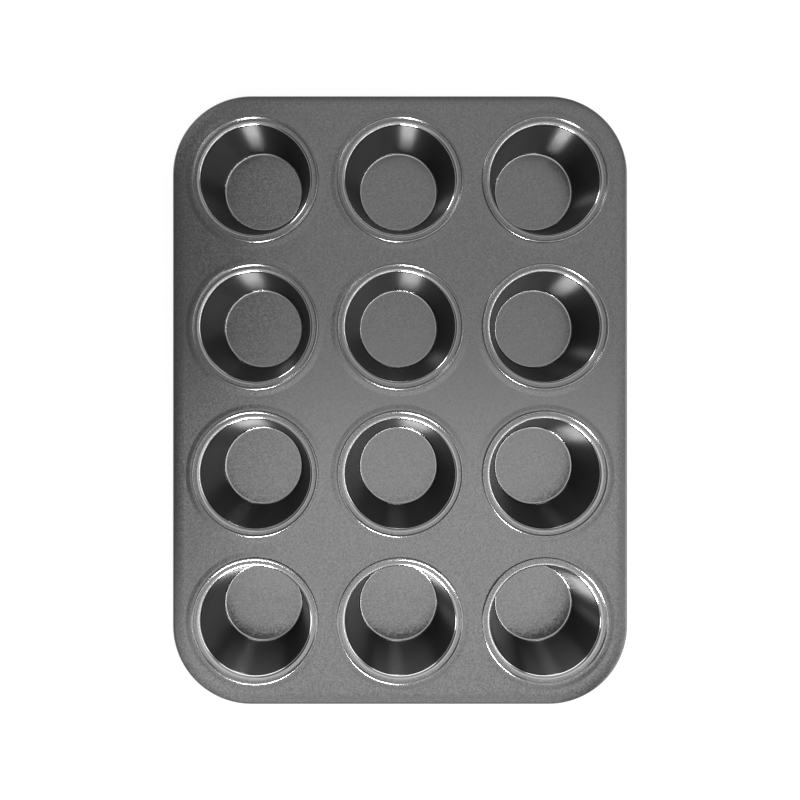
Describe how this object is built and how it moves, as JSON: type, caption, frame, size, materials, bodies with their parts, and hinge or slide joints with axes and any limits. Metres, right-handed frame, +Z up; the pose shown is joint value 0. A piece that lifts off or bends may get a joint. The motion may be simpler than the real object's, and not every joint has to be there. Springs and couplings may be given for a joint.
{
  "type": "muffin tin",
  "caption": "Flat coated-steel baking tin with a grid of round tapered cups hemmed into a deck sheet, rounded corners and a wire-stiffened rolled rim.",
  "frame": {"origin": "centre of the tin's outline, on the surface that the cups stand on", "axes": "+Z up out of the cups, +Y along the tin's length towards the first row of cups, +X along its width towards the last column"},
  "size_m": [0.2652, 0.3548, 0.03],
  "materials": {
    "deck_coat": "satin grey non-stick coating with a fine metallic sparkle",
    "cup_coat": "grey non-stick coating, satin on the bases and smooth and glossy on the drawn walls",
    "wire_steel": "plain drawn steel wire"
  },
  "bodies": {
    "root": {"deck_sheet": "deck_coat", "rim_wire": "wire_steel", "cup_row1_col1": "cup_coat", "cup_row1_col2": "cup_coat", "cup_row1_col3": "cup_coat", "cup_row2_col1": "cup_coat", "cup_row2_col2": "cup_coat", "cup_row2_col3": "cup_coat", "cup_row3_col1": "cup_coat", "cup_row3_col2": "cup_coat", "cup_row3_col3": "cup_coat", "cup_row4_col1": "cup_coat", "cup_row4_col2": "cup_coat", "cup_row4_col3": "cup_coat"}
  },
  "joints": []
}
